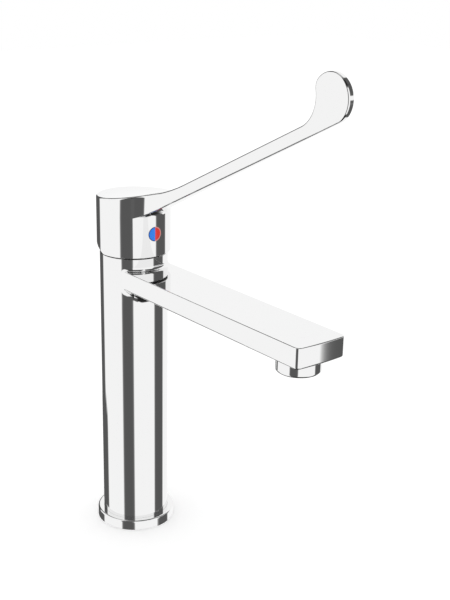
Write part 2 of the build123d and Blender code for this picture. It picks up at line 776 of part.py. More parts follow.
# Aerator housing: collar under the spout, threaded sleeve inside it, and a lip that holds the insert
with BuildPart() as aerator_housing:
    aerator_plane = Plane((aerator_reach, 0, 0), x_dir=(1, 0, 0), z_dir=(0, -1, 0))
    aerator_axis = Axis((aerator_reach, 0, 0), (0, 0, 1))
    with BuildSketch(aerator_plane):
        ring_profile(aerator_bore / 2, aerator_diameter / 2, outlet_bottom, spout_bottom)
        low_corners = vertices().sort_by(Axis.Y)[:2]
        chamfer(low_corners.sort_by(Axis.X)[-1], aerator_edge)
        ring_profile(
            aerator_bore / 2,
            aerator_thread_diameter / 2,
            outlet_bottom + aerator_lip,
            spout_bottom + aerator_thread_length,
        )
        ring_profile(
            aerator_lip_opening / 2,
            (aerator_bore + aerator_thread_diameter) / 4,
            outlet_bottom,
            outlet_bottom + aerator_lip,
        )
    revolve(axis=aerator_axis)
save(aerator_housing, "aerator_housing")

# Aerator insert: plastic core with a honeycomb of jets
jet_count = 2 * int(jet_field_diameter / jet_pitch / 2) + 3
jet_grid = HexLocations(jet_pitch / 2, jet_count, jet_count)
jets = [jet for jet in jet_grid if jet.position.length < (jet_field_diameter - jet_width) / 2]
with BuildPart() as aerator_insert:
    core_bottom = outlet_bottom + aerator_lip
    core_radius = aerator_bore / 2 - socket_clearance
    with BuildSketch(Plane.XY.offset(core_bottom)):
        with Locations((aerator_reach, 0)):
            Circle(core_radius)
            with Locations(*jets):
                RegularPolygon(jet_width / 2, 6, major_radius=False, mode=Mode.SUBTRACT)
    extrude(amount=jet_core_height)
save(aerator_insert, "aerator_insert")

# Aerator screen: thin disc with a ring of holes, on top of the core
with BuildPart() as aerator_screen:
    with BuildSketch(Plane.XY.offset(core_bottom + jet_core_height)):
        with Locations((aerator_reach, 0)):
            Circle(core_radius)
            for circle in range(1, screen_circles + 1):
                with PolarLocations(circle * core_radius / (screen_circles + 1), 4 * circle):
                    Circle(screen_hole_diameter / 2, mode=Mode.SUBTRACT)
    extrude(amount=screen_thickness)
save(aerator_screen, "aerator_screen")

# Aerator gasket: flat ring between the sleeve and the spout's shoulder
with BuildPart() as aerator_gasket:
    gasket_outer = aerator_thread_diameter / 2
    gasket_bottom = spout_bottom + aerator_thread_length
    with BuildSketch(aerator_plane):
        ring_profile(gasket_inner / 2, gasket_outer, gasket_bottom, gasket_bottom + gasket_thickness)
    revolve(axis=aerator_axis)
save(aerator_gasket, "aerator_gasket")
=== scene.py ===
"""Looks of the basin mixer tap: materials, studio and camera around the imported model."""
import json
from math import acos, asin, atan, atan2, cos, exp, hypot, pi, radians, sin, sqrt, tan

import bpy
from mathutils import Matrix, Vector
from mathutils.geometry import delaunay_2d_cdt


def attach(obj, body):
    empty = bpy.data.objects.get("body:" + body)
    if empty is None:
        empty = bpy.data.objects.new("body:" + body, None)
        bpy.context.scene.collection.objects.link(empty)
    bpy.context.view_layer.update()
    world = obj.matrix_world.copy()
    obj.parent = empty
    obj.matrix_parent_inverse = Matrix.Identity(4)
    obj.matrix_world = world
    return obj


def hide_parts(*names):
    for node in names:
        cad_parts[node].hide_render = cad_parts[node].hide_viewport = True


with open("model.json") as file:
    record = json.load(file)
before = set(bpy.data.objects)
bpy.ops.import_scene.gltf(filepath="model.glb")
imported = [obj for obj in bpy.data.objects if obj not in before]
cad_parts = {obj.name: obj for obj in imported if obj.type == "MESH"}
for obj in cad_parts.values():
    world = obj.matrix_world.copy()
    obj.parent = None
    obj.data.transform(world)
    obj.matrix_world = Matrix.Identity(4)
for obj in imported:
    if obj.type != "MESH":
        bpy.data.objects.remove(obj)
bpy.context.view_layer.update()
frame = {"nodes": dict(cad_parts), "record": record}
nodes = frame["nodes"]
scene = bpy.context.scene

MM = 0.001

# Camera, solved from the photograph's edges: place in millimetres, angles in degrees
CAMERA_PLACE = Vector((638.81, -427.98, 441.05)) * MM
CAMERA_AZIMUTH = radians(51.1452)
CAMERA_DROP = radians(18.8974)
CAMERA_ROLL = radians(1.1795)
CAMERA_LENS = 65.291
SENSOR = 36.0
CLIP_START = 0.01
CLIP_END = 50


def add_camera():
    level_share = cos(CAMERA_DROP)
    forward = Vector(
        (-sin(CAMERA_AZIMUTH) * level_share, cos(CAMERA_AZIMUTH) * level_share, -sin(CAMERA_DROP))
    )
    level = Vector((cos(CAMERA_AZIMUTH), sin(CAMERA_AZIMUTH), 0))
    above = level.cross(forward)
    right = level * cos(CAMERA_ROLL) + above * sin(CAMERA_ROLL)
    up = above * cos(CAMERA_ROLL) - level * sin(CAMERA_ROLL)
    data = bpy.data.cameras.new("camera")
    data.sensor_width = SENSOR
    data.sensor_fit = "AUTO"
    data.lens = CAMERA_LENS
    data.clip_start = CLIP_START
    data.clip_end = CLIP_END
    camera = bpy.data.objects.new("camera", data)
    turn = Matrix((right, up, -forward)).transposed().to_4x4()
    camera.matrix_world = Matrix.Translation(CAMERA_PLACE) @ turn
    scene.collection.objects.link(camera)
    scene.camera = camera


# Finishes by material slot: metallic, colour, least and most roughness, grain (grows finer with the
# number), strength of the bump, its height in metres, and the colour's share left where it is dull
FINISHES = {
    "chrome": (1.0, (0.897, 0.897, 0.897), (0.015, 0.03), 60, 0.02, 0.00002, 0.995),
    "brass": (1.0, (0.78, 0.58, 0.28), (0.22, 0.38), 400, 0.2, 0.00005, 0.8),
    "steel": (1.0, (0.62, 0.61, 0.59), (0.25, 0.4), 600, 0.2, 0.00004, 0.8),
    "rubber": (0.0, (0.02, 0.02, 0.021), (0.5, 0.7), 900, 0.3, 0.00005, 0.8),
    "cartridge_plastic": (0.0, (0.62, 0.63, 0.62), (0.35, 0.5), 700, 0.2, 0.00004, 0.8),
    "ceramic": (0.0, (0.8, 0.79, 0.76), (0.12, 0.2), 300, 0.1, 0.00002, 0.8),
    "glide_plastic": (0.0, (0.02, 0.02, 0.02), (0.4, 0.55), 700, 0.2, 0.00004, 0.8),
    "aerator_plastic": (0.0, (0.45, 0.46, 0.47), (0.35, 0.5), 700, 0.2, 0.00004, 0.8),
    "cold_blue": (0.0, (0.005, 0.245, 0.99), (0.1, 0.2), 300, 0.05, 0.00002, 0.94),
    "hot_red": (0.0, (0.87, 0.05, 0.042), (0.1, 0.2), 300, 0.05, 0.00002, 0.94),
}

# Temperature plug: height of its middle, and the radii between which the colour of each half turns
# into its painted rim colour, in metres. The rim colour is painted shade on the blue half and a
# painted highlight on the red half.
PLUG_HEIGHT = 0.2344
PLUG_PAINTED_RIM_RADII = (0.0043, 0.0051)
PLUG_RIM_SHADE_AND_HIGHLIGHT = {"cold_blue": (0.005, 0.035, 0.18), "hot_red": (0.8, 0.4, 0.38)}


def new_material(name):
    material = bpy.data.materials.new(name)
    material.use_nodes = True
    tree = material.node_tree
    return material, tree, tree.nodes["Principled BSDF"]


def add_noise(tree, scale):
    place = tree.nodes.new("ShaderNodeTexCoord")
    noise = tree.nodes.new("ShaderNodeTexNoise")
    noise.inputs["Scale"].default_value = scale
    tree.links.new(place.outputs["Object"], noise.inputs["Vector"])
    return noise.outputs["Fac"]


def add_ramp(tree, factor, low, high):
    ramp = tree.nodes.new("ShaderNodeMapRange")
    ramp.inputs["To Min"].default_value = low
    ramp.inputs["To Max"].default_value = high
    tree.links.new(factor, ramp.inputs["Value"])
    return ramp.outputs["Result"]


def add_bump(tree, shader, height, strength, distance):
    bump = tree.nodes.new("ShaderNodeBump")
    bump.inputs["Strength"].default_value = strength
    bump.inputs["Distance"].default_value = distance
    tree.links.new(height, bump.inputs["Height"])
    tree.links.new(bump.outputs["Normal"], shader.inputs["Normal"])


def add_tint(tree, shader, colour, factor, share):
    """Mixes the colour with the same colour a little darker."""
    mix = tree.nodes.new("ShaderNodeMix")
    mix.data_type = "RGBA"
    mix.inputs["A"].default_value = (*colour, 1)
    mix.inputs["B"].default_value = (*(c * share for c in colour), 1)
    tree.links.new(factor, mix.inputs["Factor"])
    tree.links.new(mix.outputs["Result"], shader.inputs["Base Color"])


def add_finish(name, metallic, colour, roughness, grain, bump_strength, bump_height, dull):
    """A material whose colour, roughness and bump all follow one noise."""
    material, tree, shader = new_material(name)
    shader.inputs["Metallic"].default_value = metallic
    noise = add_noise(tree, grain)
    add_tint(tree, shader, colour, noise, dull)
    tree.links.new(add_ramp(tree, noise, *roughness), shader.inputs["Roughness"])
    add_bump(tree, shader, noise, bump_strength, bump_height)
    return material


def add_painted_plug_rim(material, colour):
    """Blends the plug's colour into a painted rim colour along its round edge: painted shade or a
    painted highlight.
    """
    tree = material.node_tree
    shader = tree.nodes["Principled BSDF"]
    face = shader.inputs["Base Color"].links[0].from_socket
    place = tree.nodes.new("ShaderNodeTexCoord")
    # Puts the plug's middle at nought and takes out the depth, so that the length is the radius
    mapping = tree.nodes.new("ShaderNodeMapping")
    mapping.inputs["Location"].default_value = (0, 0, -PLUG_HEIGHT)
    mapping.inputs["Scale"].default_value = (0, 1, 1)
    length = tree.nodes.new("ShaderNodeVectorMath")
    length.operation = "LENGTH"
    ring = tree.nodes.new("ShaderNodeMapRange")
    ring.inputs["From Min"].default_value, ring.inputs["From Max"].default_value = PLUG_PAINTED_RIM_RADII
    mix = tree.nodes.new("ShaderNodeMix")
    mix.data_type = "RGBA"
    mix.inputs["B"].default_value = (*colour, 1)
    tree.links.new(place.outputs["Object"], mapping.inputs["Vector"])
    tree.links.new(mapping.outputs["Vector"], length.inputs[0])
    tree.links.new(length.outputs["Value"], ring.inputs["Value"])
    tree.links.new(ring.outputs["Result"], mix.inputs["Factor"])
    tree.links.new(face, mix.inputs["A"])
    tree.links.new(mix.outputs["Result"], shader.inputs["Base Color"])


materials = {slot: add_finish(slot, *finish) for slot, finish in FINISHES.items()}
# Painted shade along the blue half's rim and a painted highlight along the red half's rim
for plug_half, painted_rim_colour in PLUG_RIM_SHADE_AND_HIGHLIGHT.items():
    add_painted_plug_rim(materials[plug_half], painted_rim_colour)

for entry in frame["record"]["subparts"]:
    node = nodes[entry["node"]]
    node.data.materials.clear()
    node.data.materials.append(materials[entry["material_slot"]])


# Decimals of a millimetre to which two corners must agree to be one
WELD_DECIMALS = 4
# Least distance of a patch's inner corner from its border, squared and in steps
BORDER_ROOM = 0.3
# Kind of triangulation, which fills the whole area, and the distance below which it joins corners
PATCH_OUTPUT = 0
PATCH_NEAR = 1e-7
# Angle below which two directions are one
SAME_WAY = 1e-4
# Steps of a flat patch, in millimetres
FLAT_STEP = (4, 4)
# Divisions of a full turn and of a rounded edge, which every piece shares
TURN_STEPS = 120
ROUND_STEPS = 5


class Skin:
    """A closed mesh whose corners carry exact normals. Places are in millimetres."""

    def __init__(self):
        self.index_of = {}
        self.points = []
        self.faces = []
        self.normals = []

    def point(self, place):
        key = tuple(round(c, WELD_DECIMALS) + 0.0 for c in place)
        if key not in self.index_of:
            self.index_of[key] = len(self.points)
            self.points.append(Vector(place))
        return self.index_of[key]

    def face(self, corners, normals):
        kept = []
        for corner, normal in zip(corners, normals):
            index = self.point(corner)
            if all(index != other for other, _ in kept):
                kept.append((index, Vector(normal).normalized()))
        if len(kept) < 3:
            return
        around = [self.points[index] for index, _ in kept]
        facing = Vector((0, 0, 0))
        for k in range(1, len(around) - 1):
            facing += (around[k] - around[0]).cross(around[k + 1] - around[0])
        mean = sum((normal for _, normal in kept), Vector((0, 0, 0)))
        if facing.dot(mean) < 0:
            kept.reverse()
        self.faces.append([index for index, _ in kept])
        self.normals.extend(normal for _, normal in kept)

    def grid(self, rows, normal_rows):
        for j in range(len(rows) - 1):
            for i in range(len(rows[j]) - 1):
                spots = ((j, i), (j, i + 1), (j + 1, i + 1), (j + 1, i))
                self.face([rows[r][c] for r, c in spots], [normal_rows[r][c] for r, c in spots])

    def patch(self, loops, lift, normal_at, step):
        """Fills the area between closed loops, the first of them outside.

        Each corner of a loop is its place in the flat and its place in space.
        """
        rings = [[corner[0] for corner in loop] for loop in loops]
        border = [corner for loop in loops for corner in loop]
        flat = [corner[0] for corner in border]
        edges = []
        first = 0
        for ring in rings:
            edges.extend((first + k, first + (k + 1) % len(ring)) for k in range(len(ring)))
            first += len(ring)
        low_u = min(p[0] for p in rings[0])
        high_u = max(p[0] for p in rings[0])
        low_v = min(p[1] for p in rings[0])
        high_v = max(p[1] for p in rings[0])
        for i in range(1, int((high_u - low_u) / step[0]) + 1):
            for j in range(1, int((high_v - low_v) / step[1]) + 1):
                spot = (low_u + i * step[0], low_v + j * step[1])
                if in_rings(spot, rings) and off_border(spot, border, step):
                    flat.append(spot)
        result = delaunay_2d_cdt([Vector(p) for p in flat], edges, [], PATCH_OUTPUT, PATCH_NEAR)
        places = []
        for spot, origins in zip(result[0], result[3]):
            known = [k for k in origins if k < len(border)]
            places.append(border[known[0]][1] if known else lift(spot))
        for triangle in result[2]:
            spots = [result[0][k] for k in triangle]
            middle = (sum(s[0] for s in spots) / 3, sum(s[1] for s in spots) / 3)
            if in_rings(middle, rings):
                self.face([places[k] for k in triangle], [normal_at(places[k]) for k in triangle])

    def level_patch(self, loops, z, up):
        """Fills a level area at height z that faces up or, where up is -1, down."""
        self.patch(
            [in_plan(loop) for loop in loops],
            lambda p: (p[0], p[1], z),
            lambda p: (0, 0, up),
            FLAT_STEP,
        )

    def lathe(self, profile, angles, axis=0.0):
        """Turns a profile about the upright line at x = axis, y = 0.

        Each place of the profile is its radius, height and normal's outward and upward share.
        """
        self.grid(
            [[(axis + r * cos(a), r * sin(a), z) for a in angles] for r, z, _, _ in profile],
            [[(out * cos(a), out * sin(a), up) for a in angles] for _, _, out, up in profile],
        )

    def lathe_line(self, places, normals, angles, axis=0.0):
        """Turns a broken line with one normal for each of its straight runs."""
        for first, last, normal in zip(places, places[1:], normals):
            self.lathe([(*first, *normal), (*last, *normal)], angles, axis)

    def build(self, name, slot, body, replaced):
        mesh = bpy.data.meshes.new(name)
        mesh.from_pydata([p * MM for p in self.points], [], self.faces)
        mesh.polygons.foreach_set("use_smooth", [True] * len(self.faces))
        mesh.normals_split_custom_set([tuple(n) for n in self.normals])
        mesh.materials.append(materials[slot])
        piece = bpy.data.objects.new(name, mesh)
        scene.collection.objects.link(piece)
        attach(piece, body)
        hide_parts(replaced)


def in_rings(spot, rings):
    """True inside the first ring and outside the others."""
    inside = False
    for ring in rings:
        for k in range(len(ring)):
            u0, v0 = ring[k - 1]
            u1, v1 = ring[k]
            if (v0 > spot[1]) != (v1 > spot[1]):
                if spot[0] < u0 + (u1 - u0) * (spot[1] - v0) / (v1 - v0):
                    inside = not inside
    return inside


def off_border(spot, border, step):
    """True where the spot keeps its distance from every corner of the border."""
    return all(
        ((spot[0] - u) / step[0]) ** 2 + ((spot[1] - v) / step[1]) ** 2 > BORDER_ROOM
        for (u, v), _ in border
    )


def in_plan(loop):
    return [((p[0], p[1]), p) for p in loop]


def spread(first, last, count):
    return [first + (last - first) * k / count for k in range(count + 1)]


def blend(first, last, share):
    return first + (last - first) * share


def slerp(first, last, share):
    angle = first.angle(last)
    if angle < SAME_WAY:
        return first.copy()
    return (first * sin((1 - share) * angle) + last * sin(share * angle)) / sin(angle)


def square_to(along, around, guess):
    """Unit normal of a surface from two directions in it, on the side of the guess."""
    normal = along.cross(around).normalized()
    if normal.dot(guess) < 0:
        normal.negate()
    return normal


def arc_samples(center, radius, first, last, count, side=1):
    """Points of an arc with the normal pointing away from its centre, or to it where side is -1."""
    return [
        (center[0] + radius * cos(a), center[1] + radius * sin(a), side * cos(a), side * sin(a))
        for a in spread(first, last, count)
    ]


def turn_of(center, point):
    return atan2(point[1] - center[1], point[0] - center[0])


# Body: sizes in millimetres
COLUMN_RADIUS = 25.0
COLUMN_FOOT = 2.0
BORE_RADIUS = 21.5
SEAT_RADIUS = 18.7
SEAT_FLOOR = 206.0
BODY_RIM = 216.0
RIM_ROUND = 0.15
SPOUT_TOP = 207.2
SPOUT_BOTTOM = 193.2
SPOUT_HALF_WIDTH = 20.05
SPOUT_END = 202.5
SPOUT_BOW = 260.0
SPOUT_CORNER = 4.0
SPOUT_EDGE = 0.9
SPOUT_UNDER_EDGE = 1.5
AERATOR_X = 181.5
AERATOR_HOLE_RADIUS = 12.05
AERATOR_HOLE_ROOF = 201.5
# Joint of spout and column: radius of the rounding on top, at the sides, in the middle of the
# underside and at its corners, and half the width over which the underside's radius stays the same
JOINT_TOP_RADIUS = 3.0
JOINT_SIDE_RADIUS = 4.2
JOINT_UNDER_RADIUS = 12.5
JOINT_UNDER_CORNER_RADIUS = 8.0
JOINT_UNDER_FLAT = 12.0
# Down a side, the top's radius turns into the side's over the first of this many equal parts, and
# that into the corner's over the lower half. The powers ease the changes there and underneath.
JOINT_TOP_PARTS = 3
JOINT_CORNER_EASE = 1.5
JOINT_UNDER_EASE = 2.5
# Divisions of the body's surfaces, and steps of the column's patch round and up, in millimetres
JOINT_STEPS = 14
CORNER_STEPS = 12
BOW_STEPS = 40
SIDE_STEPS = 8
LENGTH_STEPS = 60
HOLE_STEPS = 60
HEIGHT_STEPS = 60
COLUMN_STEP = (2.2, 8)


def on_wall(turn, z):
    return (COLUMN_RADIUS * cos(turn), COLUMN_RADIUS * sin(turn), z)


def joint_outline(side, breadths, under_breadths):
    """Outline of the spout where it leaves the joint, as seen from the front.

    Each place is across, up, the normal across, the normal up and the joint's radius there.
    """
    radii = []
    for _, z, _, _ in side:
        share = (SPOUT_TOP - z) / (SPOUT_TOP - SPOUT_BOTTOM)
        from_top = max(0, 1 - JOINT_TOP_PARTS * share)
        from_under = max(0, 2 * share - 1) ** JOINT_CORNER_EASE
        radius = blend(JOINT_SIDE_RADIUS, JOINT_TOP_RADIUS, from_top)
        radii.append(radius + (JOINT_UNDER_CORNER_RADIUS - JOINT_SIDE_RADIUS) * from_under)
    edge_y = SPOUT_HALF_WIDTH - SPOUT_EDGE
    sides = list(zip(side, radii))
    outline = [(y, SPOUT_TOP, 0, 1, JOINT_TOP_RADIUS) for y in breadths]
    for (out, z, level, up), radius in sides[1:]:
        outline.append((edge_y + out, z, level, up, radius))
    for y in reversed(under_breadths[:-1]):
        share = max(0, abs(y) - JOINT_UNDER_FLAT) / (under_breadths[-1] - JOINT_UNDER_FLAT)
        radius = blend(JOINT_UNDER_RADIUS, JOINT_UNDER_CORNER_RADIUS, share**JOINT_UNDER_EASE)
        outline.append((y, SPOUT_BOTTOM, 0, -1, radius))
    for (out, z, level, up), radius in sides[-2:0:-1]:
        outline.append((-edge_y - out, z, -level, up, radius))
    return outline


def joint_columns(outline):
    """Lines of a ball's surface that rolls along the outline and the column, with their normals."""
    columns = []
    for py, pz, ny, nz, radius in outline:
        ball_y = py + radius * ny
        ball_x = sqrt((COLUMN_RADIUS + radius) ** 2 - ball_y**2)
        ball = Vector((ball_x, ball_y, pz + radius * nz))
        inwards = Vector((-ball.x, -ball.y, 0)).normalized()
        outwards = Vector((0, -ny, -nz))
        turns = spread(0, 1, JOINT_STEPS)
        columns.append([ball + slerp(outwards, inwards, t) * radius for t in turns])
    count = len(columns)
    normals = []
    for s, (_, _, ny, nz, _) in enumerate(outline):
        line = [Vector((0, ny, nz))]
        for k in range(1, JOINT_STEPS):
            along = columns[s][k + 1] - columns[s][k - 1]
            around = columns[(s + 1) % count][k] - columns[s - 1][k]
            line.append(square_to(along, around, Vector((1, ny, nz))))
        line.append(Vector((columns[s][-1].x, columns[s][-1].y, 0)).normalized())
        normals.append(line)
    return columns, normals


def make_body():
    skin = Skin()
    angles = spread(-pi, pi, TURN_STEPS)
    rounds = spread(0, pi / 2, ROUND_STEPS)
    wall_top = BODY_RIM - RIM_ROUND
    skin.lathe(
        arc_samples((COLUMN_RADIUS - RIM_ROUND, wall_top), RIM_ROUND, 0, pi / 2, ROUND_STEPS),
        angles,
    )
    skin.lathe_line(
        [
            (COLUMN_RADIUS - RIM_ROUND, BODY_RIM),
            (SEAT_RADIUS, BODY_RIM),
            (SEAT_RADIUS, SEAT_FLOOR),
            (BORE_RADIUS, SEAT_FLOOR),
            (BORE_RADIUS, COLUMN_FOOT),
            (COLUMN_RADIUS, COLUMN_FOOT),
        ],
        [(0, 1), (-1, 0), (0, -1), (-1, 0), (0, -1)],
        angles,
    )

    # Plan of the spout's end: corner, bowed end, corner
    bow_x = SPOUT_END - SPOUT_BOW
    corner_y = SPOUT_HALF_WIDTH - SPOUT_CORNER
    corner_x = bow_x + sqrt((SPOUT_BOW - SPOUT_CORNER) ** 2 - corner_y**2)
    turn = atan2(corner_y, corner_x - bow_x)
    plan = arc_samples((corner_x, -corner_y), SPOUT_CORNER, -pi / 2, -turn, CORNER_STEPS)
    plan += arc_samples((bow_x, 0), SPOUT_BOW, -turn, turn, BOW_STEPS)[1:-1]
    plan += arc_samples((corner_x, corner_y), SPOUT_CORNER, turn, pi / 2, CORNER_STEPS)

    # Section of a side: distance outwards from the end of the flat top, height, and the outward and
    # upward shares of the normal
    upper = SPOUT_TOP - SPOUT_EDGE
    lower = SPOUT_BOTTOM + SPOUT_UNDER_EDGE
    side = []
    for a in reversed(rounds):
        side.append((SPOUT_EDGE * cos(a), upper + SPOUT_EDGE * sin(a), cos(a), sin(a)))
    for z in spread(upper, lower, SIDE_STEPS)[1:-1]:
        side.append((SPOUT_EDGE, z, 1, 0))
    for a in rounds:
        out = SPOUT_EDGE - SPOUT_UNDER_EDGE * (1 - cos(a))
        side.append((out, SPOUT_BOTTOM + SPOUT_UNDER_EDGE * (1 - sin(a)), cos(a), -sin(a)))

    rows = []
    normal_rows = []
    for x, y, nx, ny in plan:
        flat_x = x - SPOUT_EDGE * nx
        flat_y = y - SPOUT_EDGE * ny
        rows.append([(flat_x + out * nx, flat_y + out * ny, z) for out, z, _, _ in side])
        normal_rows.append([(level * nx, level * ny, up) for _, _, level, up in side])
    skin.grid(rows, normal_rows)

    breadths = [row[0][1] for row in rows]
    outline = joint_outline(side, breadths, [row[-1][1] for row in rows])
    columns, normals = joint_columns(outline)
    skin.grid(columns + columns[:1], normals + normals[:1])

    # Long sides of the spout, with their edges, from the joint to the corner
    starts = [column[0].x for column in columns]
    stations = spread(0, 1, LENGTH_STEPS)
    first_right = len(breadths) - 1
    last_right = first_right + len(side) - 1
    first_left = last_right + len(breadths) - 1
    right = list(range(first_right, last_right + 1))
    left = [k % len(columns) for k in range(first_left, first_left + len(side))]
    borders = {}
    for name, members in (("right", right), ("left", left)):
        strip = []
        strip_normals = []
        for s in members:
            py, pz, ny, nz, _ = outline[s]
            strip.append([(blend(starts[s], corner_x, t), py, pz) for t in stations])
            strip_normals.append([(0, ny, nz)] * len(stations))
        skin.grid(strip, strip_normals)
        borders[name] = strip

    # Top and underside, with the hole for the aerator
    top_loop = [(starts[s], outline[s][0], SPOUT_TOP) for s in range(len(breadths))]
    top_loop += borders["right"][0][1:-1]
    top_loop += [row[0] for row in reversed(rows)]
    top_loop += borders["left"][-1][-2:0:-1]
    skin.level_patch([top_loop], SPOUT_TOP, 1)
    under = range(last_right, first_left + 1)
    under_loop = [(starts[s], outline[s][0], SPOUT_BOTTOM) for s in under]
    under_loop += borders["left"][0][1:-1]
    under_loop += [row[-1] for row in rows]
    under_loop += borders["right"][-1][-2:0:-1]
    turns = spread(0, 2 * pi, HOLE_STEPS)
    hole_plan = [
        (AERATOR_X + AERATOR_HOLE_RADIUS * cos(a), AERATOR_HOLE_RADIUS * sin(a)) for a in turns
    ]
    mouth, roof = [[(x, y, z) for x, y in hole_plan] for z in (SPOUT_BOTTOM, AERATOR_HOLE_ROOF)]
    skin.level_patch([under_loop, mouth[:-1]], SPOUT_BOTTOM, -1)
    skin.grid([mouth, roof], [[(-cos(a), -sin(a), 0) for a in turns]] * 2)
    skin.level_patch([roof[:-1]], AERATOR_HOLE_ROOF, -1)

    # Column's wall around the joint, unrolled from the back
    heights = spread(COLUMN_FOOT, wall_top, HEIGHT_STEPS)
    rim = [(a, COLUMN_FOOT) for a in angles[:-1]]
    rim += [(pi, z) for z in heights[:-1]]
    rim += [(a, wall_top) for a in reversed(angles[1:])]
    rim += [(-pi, z) for z in reversed(heights[1:])]
    ends = [column[-1] for column in columns]
    skin.patch(
        [
            [((a * COLUMN_RADIUS, z), on_wall(a, z)) for a, z in rim],
            [((atan2(end.y, end.x) * COLUMN_RADIUS, end.z), end) for end in ends],
        ],
        lambda p: on_wall(p[0] / COLUMN_RADIUS, p[1]),
        lambda p: (p[0], p[1], 0),
        COLUMN_STEP,
    )
    return skin


# Lever: sizes in millimetres, angles in degrees
CAP_RADIUS = 27.0
CAP_RIM = 217.4
CAP_TOP = 258.0
CAVITY_RADIUS = 24.0
CAVITY_ROOF = 253.0
# Relief behind the cap's rim: it starts at this x and rises backwards
RELIEF_START = 1.0
RELIEF_ANGLE = radians(24)
# Distance from that line within which a place is on it
RELIEF_NEAR = 1e-6
# Arm: x where the top's sweep starts, and the straight blade's slope, height on the axis, thickness
# and half width there
SWEEP_START = -20.0
ARM_ANGLE = radians(26.63)
ARM_ROOT = 235.8
ARM_THICKNESS = 8.2
ARM_ROOT_HALF_WIDTH = 6.8
# Paddle: its distance along the arm, its sizes, and the roundings from the blade's top to it
ARM_REACH = 230.9
PADDLE_RADIUS = 14.795
PADDLE_HALF_WIDTH = 2.3
SHOULDER_RADIUS = 8.0
NECK_RADIUS = 20.0
NECK_SETBACK = 29.4
# Length over which the sides turn from the taper to the paddle
TAPER_BLEND = 4
# Rounding in plan between the cap and the blade
FLARE_RADIUS = 23.5
# Radii of the rounded edges
CAP_EDGE = 1.5
BLADE_EDGE = 1.6
PADDLE_EDGE = 1.15
RIM_EDGE = 0.3
# Hollow between the cap's wall and the arm's underside: its radius, the share of the room under the
# flare that it may take, and the share of that room's square that the flare's lower edge may take
ROOT_RADIUS = 3.4
ROOM_SHARE = 0.7
EDGE_SHARE = 0.035
# Angle past the flare's start over which the cap's normals stay the same
TANGENT_HOLD = radians(2.5)
# Divisions of the lever's surfaces, and steps of the patches under and beside the arm
CAP_STEPS = 60
FRONT_STEPS = 60
FLARE_STEPS = 30
SWEEP_STEPS = 12
ARM_TOP_STEPS = 40
NECK_STEPS = 24
SHOULDER_STEPS = 16
PADDLE_STEPS = 60
ARM_UNDER_STEPS = 50
BREADTH_STEPS = 8
ROOT_STEPS = 8
CAP_WALL_STEPS = 10
FLARE_WALL_STEPS = 5
UNDER_STEP = (1.5, 1.5)
BLADE_STEP = (3, 3)


def along_arm(distance, height):
    """Point of the side view, a distance along the arm's lower line and a height square to it."""
    return (
        distance * cos(ARM_ANGLE) - height * sin(ARM_ANGLE),
        ARM_ROOT + distance * sin(ARM_ANGLE) + height * cos(ARM_ANGLE),
    )


def under_at(x):
    """Height of the arm's underside."""
    return ARM_ROOT + tan(ARM_ANGLE) * x


def mirrored(row):
    return [Vector((p[0], -p[1], p[2])) for p in row]


def rim_edge(turn):
    """Rounds the cap rim's outer edge at a bearing, from the wall to the rim's face."""
    x = CAP_RADIUS * cos(turn)
    side = Vector((cos(turn), sin(turn), 0))
    down = Vector((0, 0, -1))
    z = CAP_RIM
    if x < RELIEF_START - RELIEF_NEAR:
        down = Vector((-sin(RELIEF_ANGLE), 0, -cos(RELIEF_ANGLE)))
        z += (RELIEF_START - x) * tan(RELIEF_ANGLE)
    elif x < RELIEF_START + RELIEF_NEAR:
        down = Vector((-sin(RELIEF_ANGLE / 2), 0, -cos(RELIEF_ANGLE / 2)))
    place = Vector((x, CAP_RADIUS * sin(turn), z))
    center = place - (side + down) * RIM_EDGE / (1 + side.dot(down))
    normals = [slerp(side, down, t) for t in spread(0, 1, ROUND_STEPS)]
    return [center + n * RIM_EDGE for n in normals], normals, down


